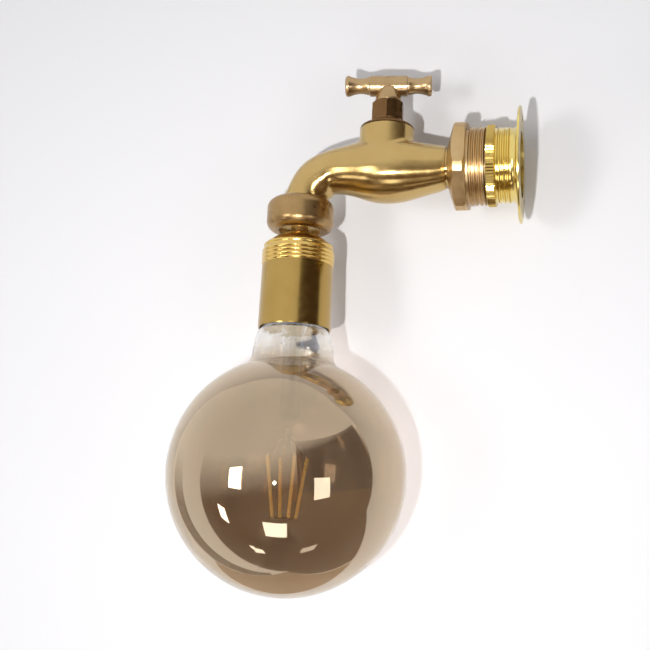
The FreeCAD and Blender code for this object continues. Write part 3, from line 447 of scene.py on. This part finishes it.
# %% Make the paper's finish
def paper_finish(name, colour):
    """White paper with faint grain, which isn't drawn from behind."""
    material, nodes, links, shader = new_finish(name)
    fibres = noise(nodes, links, own_place(nodes, links), scale=400.0, detail=5.0)
    links.new(bump(nodes, links, fibres, distance=0.00002), shader.inputs["Normal"])
    shader.inputs["Base Color"].default_value = (*colour, 1)
    shader.inputs["Roughness"].default_value = 0.9
    from_behind = add_node(nodes, links, "ShaderNodeNewGeometry").outputs["Backfacing"]
    nothing = add_node(nodes, links, "ShaderNodeBsdfTransparent").outputs["BSDF"]
    shown = add_node(nodes, links, "ShaderNodeMixShader",
                     {0: from_behind, 1: shader.outputs["BSDF"], 2: nothing})
    links.new(shown.outputs["Shader"], surface_of(nodes))
    return material


paper_material = paper_finish("paper", (0.86, 0.855, 0.87))
print("nodes in the paper:", len(paper_material.node_tree.nodes))

# %% Lay the paper
globe_radius, paper_gap = 0.0625, 0.0006
lean, to_wall = math.radians(8.9), Vector((0, 0.583, 0.812))
left, right, down, up = -0.30, 0.34, -0.135, 0.50  # how far the paper reaches

paper_normal = math.cos(lean) * Vector((1, 0, 0)) - math.sin(lean) * to_wall
middle = globe_centre - paper_normal * (globe_radius + paper_gap)
paper_up = (picture_up - picture_up.dot(paper_normal) * paper_normal).normalized()
paper_side = paper_up.cross(paper_normal)
corners = [middle + paper_side * a + paper_up * b
           for a, b in ((left, down), (right, down), (right, up), (left, up))]
mesh = bpy.data.meshes.new("paper")
mesh.from_pydata(corners, [], [(0, 1, 2, 3)])
mesh.materials.append(paper_material)
sheet = bpy.data.objects.new("paper", mesh)
bpy.context.scene.collection.objects.link(sheet)
print("paper lies at", [round(v, 3) for v in middle])

# %% [markdown]
# ## Light
#
# Square ceiling lamps in a staggered grid light the photograph: the globe mirrors each of
# them as a small white square. Where a mirror image sits on a ball tells from which side the
# light comes, so each lamp was placed by its image. They are area lamps, which are soft and
# mirror as squares. A small lamp beside the camera gives the narrow shadows on the right.
# The globe's own shadow is faint, because the finish of its glass lets most light through.


# %% Make a lamp
def area_lamp(name, place, power, size, shape="SQUARE"):
    """A lamp that faces the same way as the camera."""
    data = bpy.data.lights.new(name, "AREA")
    data.shape = shape
    data.size = size
    data.energy = power
    lamp = bpy.data.objects.new(name, data)
    bpy.context.scene.collection.objects.link(lamp)
    lamp.matrix_world = Matrix.Translation(place) @ facing


camera_lamp_left, camera_lamp_down = 0.101, 0.067
beside_camera = (camera.location - camera_lamp_left * picture_right
                 - camera_lamp_down * picture_up)
print("the small lamp stands at", [round(v, 3) for v in beside_camera])

# %% Hang the lamps
lamp_height = 1.2  # also the unit for the two places
ceiling_lamps = [  # place to the right and upward, size in metres, power in watts
    (-1.03, 0.09, 0.52, 9.0),
    (0.70, -0.10, 0.46, 1.8),
    (-0.18, -0.94, 0.54, 3.1),
    (-1.90, -1.02, 0.62, 8.5),
    (-0.97, -2.45, 0.62, 4.0),
    (0.75, -2.25, 0.62, 1.5),
]
for number, (to_right, upwards, size, power) in enumerate(ceiling_lamps):
    offset = towards_camera + to_right * picture_right + upwards * picture_up
    area_lamp("ceiling_lamp_%d" % (number + 1), globe_centre + lamp_height * offset, power, size)
area_lamp("camera_lamp", beside_camera, power=2.55, size=0.018, shape="DISK")
print("lamps:", len(bpy.data.lights))

# %% [markdown]
# ## The room
#
# Polished metal shows the room more than itself. The world is a plain pale room: at full
# strength where the camera, metal or glass looks at it, and dimmer where it only fills the
# shadows. A dark ceiling curves round behind the lamps, 4.5 m away, with a strip of its own
# on the far left, a darker doorway on the right and a brown floor. Photographers put dark
# and light backdrops round polished metal, because the step from light to dark is what makes
# it look like metal. These are backdrops that only mirrors and glass see.

# %% Paint the room
pale_room, fill = (1.0, 0.985, 0.96), (0.29, 0.285, 0.29)
room = bpy.data.worlds.new("room")
room.use_nodes = True
nodes, links = room.node_tree.nodes, room.node_tree.links
path = add_node(nodes, links, "ShaderNodeLightPath").outputs
seen = path["Is Camera Ray"]
for kind in ("Is Glossy Ray", "Is Transmission Ray"):
    seen = add_node(nodes, links, "ShaderNodeMath", {0: seen, 1: path[kind]},
                    operation="MAXIMUM").outputs["Value"]
links.new(mix_colours(nodes, links, seen, fill, pale_room), nodes["Background"].inputs["Color"])
bpy.context.scene.world = room
bpy.context.scene.view_settings.view_transform = "Standard"
print("world:", room.name)

# %% [markdown]
# ## Backdrops on a dome
#
# A backdrop behind the camera has to be large and even, so it is a piece of a ball round the
# globe, built from rows of small faces. It glows by itself and lights nothing. Some of them
# turn pale towards the top, along a line that slants a little, as the photographed room does.

# %% Make a backdrop's finish
slant = (-0.22, 1.0, 0.0)


def backdrop_finish(name, colour, fading):
    """A glow of one colour, which turns pale between the two heights of fading."""
    material, nodes, links, _ = new_finish(name)
    glow = add_node(nodes, links, "ShaderNodeEmission", {"Color": (*colour, 1), "Strength": 1.0})
    if fading:
        height = add_node(nodes, links, "ShaderNodeVectorMath",
                          {0: own_place(nodes, links), 1: slant}, operation="DOT_PRODUCT")
        paling = add_node(nodes, links, "ShaderNodeMapRange",
                          {"Value": height.outputs["Value"],
                           "From Min": fading[0], "From Max": fading[1]})
        links.new(mix_colours(nodes, links, paling.outputs["Result"], colour, pale_room),
                  glow.inputs["Color"])
    links.new(glow.outputs["Emission"], surface_of(nodes))
    return material


print("the pale line slants by", round(math.degrees(math.atan(-slant[0])), 1), "degrees")


# %% Shape a backdrop
def steps(first, last, count):
    """Evenly spaced angles from first to last, given in degrees."""
    return [math.radians(first + (last - first) * step / (count - 1)) for step in range(count)]


def on_dome(distance, angle, height):
    """On a ball that has the camera's axes: angle to the right, height upward."""
    return (distance * math.cos(height) * math.sin(angle),
            distance * math.sin(height),
            distance * math.cos(height) * math.cos(angle))


def backdrop(name, colour, distance, angles, heights, fading=None):
    """A piece of a ball that only mirrors and glass see."""
    wide = len(angles)
    faces = [(row * wide + step, row * wide + step + 1,
              (row + 1) * wide + step + 1, (row + 1) * wide + step)
             for row in range(len(heights) - 1) for step in range(wide - 1)]
    mesh = bpy.data.meshes.new(name)
    mesh.from_pydata([on_dome(distance, angle, height) for height in heights for angle in angles],
                     [], faces)
    mesh.materials.append(backdrop_finish(name, colour, fading))
    card = bpy.data.objects.new(name, mesh)
    card.matrix_world = Matrix.Translation(globe_centre) @ facing
    bpy.context.scene.collection.objects.link(card)
    card.visible_camera = card.visible_diffuse = card.visible_shadow = False
    print(name, "has", len(faces), "faces")


dome, nearer_dome = 4.5, 4.4
print("the backdrops stand", nearer_dome, "and", dome, "m from the globe")

# %% Stand the backdrops
backdrop("dark_ceiling", (0.17, 0.10, 0.052), dome,
         angles=steps(-84, 125, 41), heights=steps(-89, 34, 25), fading=(-0.35, 2.3))
backdrop("dark_edge", (0.26, 0.20, 0.14), dome,
         angles=steps(-126, -110, 5), heights=steps(-80, 20, 21), fading=(-0.35, 1.4))
backdrop("brown_floor", (0.50, 0.36, 0.23), dome,
         angles=steps(-53, 53, 29), heights=steps(-135, -90, 10))
backdrop("dark_doorway", (0.085, 0.055, 0.04), nearer_dome,
         angles=steps(12, 88, 25), heights=steps(-8, 38, 15), fading=(1.75, 2.7))
